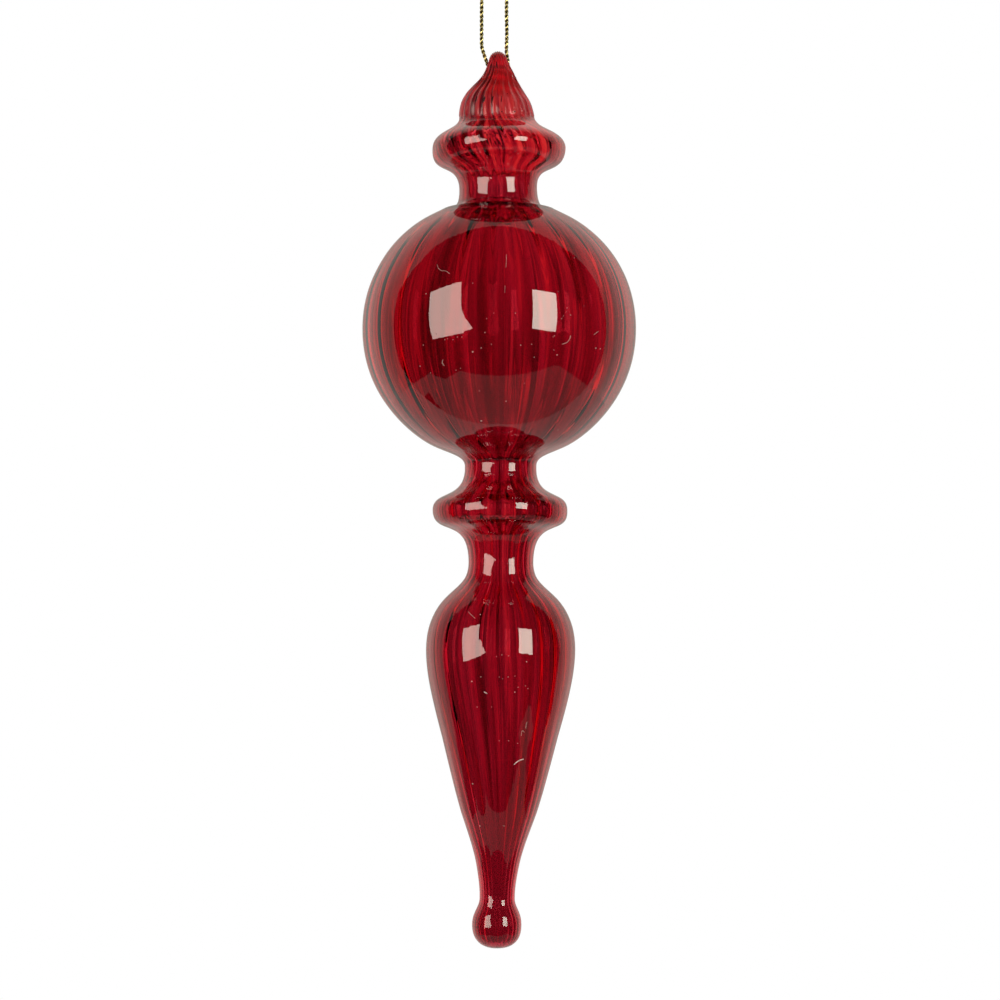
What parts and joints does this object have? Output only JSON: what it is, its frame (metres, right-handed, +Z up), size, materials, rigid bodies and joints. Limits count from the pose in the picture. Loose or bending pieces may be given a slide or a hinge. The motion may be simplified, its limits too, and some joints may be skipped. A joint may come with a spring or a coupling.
{
  "type": "christmas bauble",
  "caption": "Deep red blown-glass bauble with a round ball between two rings, a ribbed spindle and a drop, hung on a gold cord loop.",
  "frame": {"origin": "the point inside the top of the cord loop where it hangs over a peg", "axes": "+Z up along the hanging glass, +X to the right and +Y to the back as the picture shows it"},
  "size_m": [0.061, 0.061, 0.254],
  "materials": {
    "red_glass": "gloss",
    "gold_cord": "satin"
  },
  "bodies": {
    "root": {"glass_body": "red_glass", "hanging_cord": "gold_cord", "cord_knot": "gold_cord"}
  },
  "joints": []
}
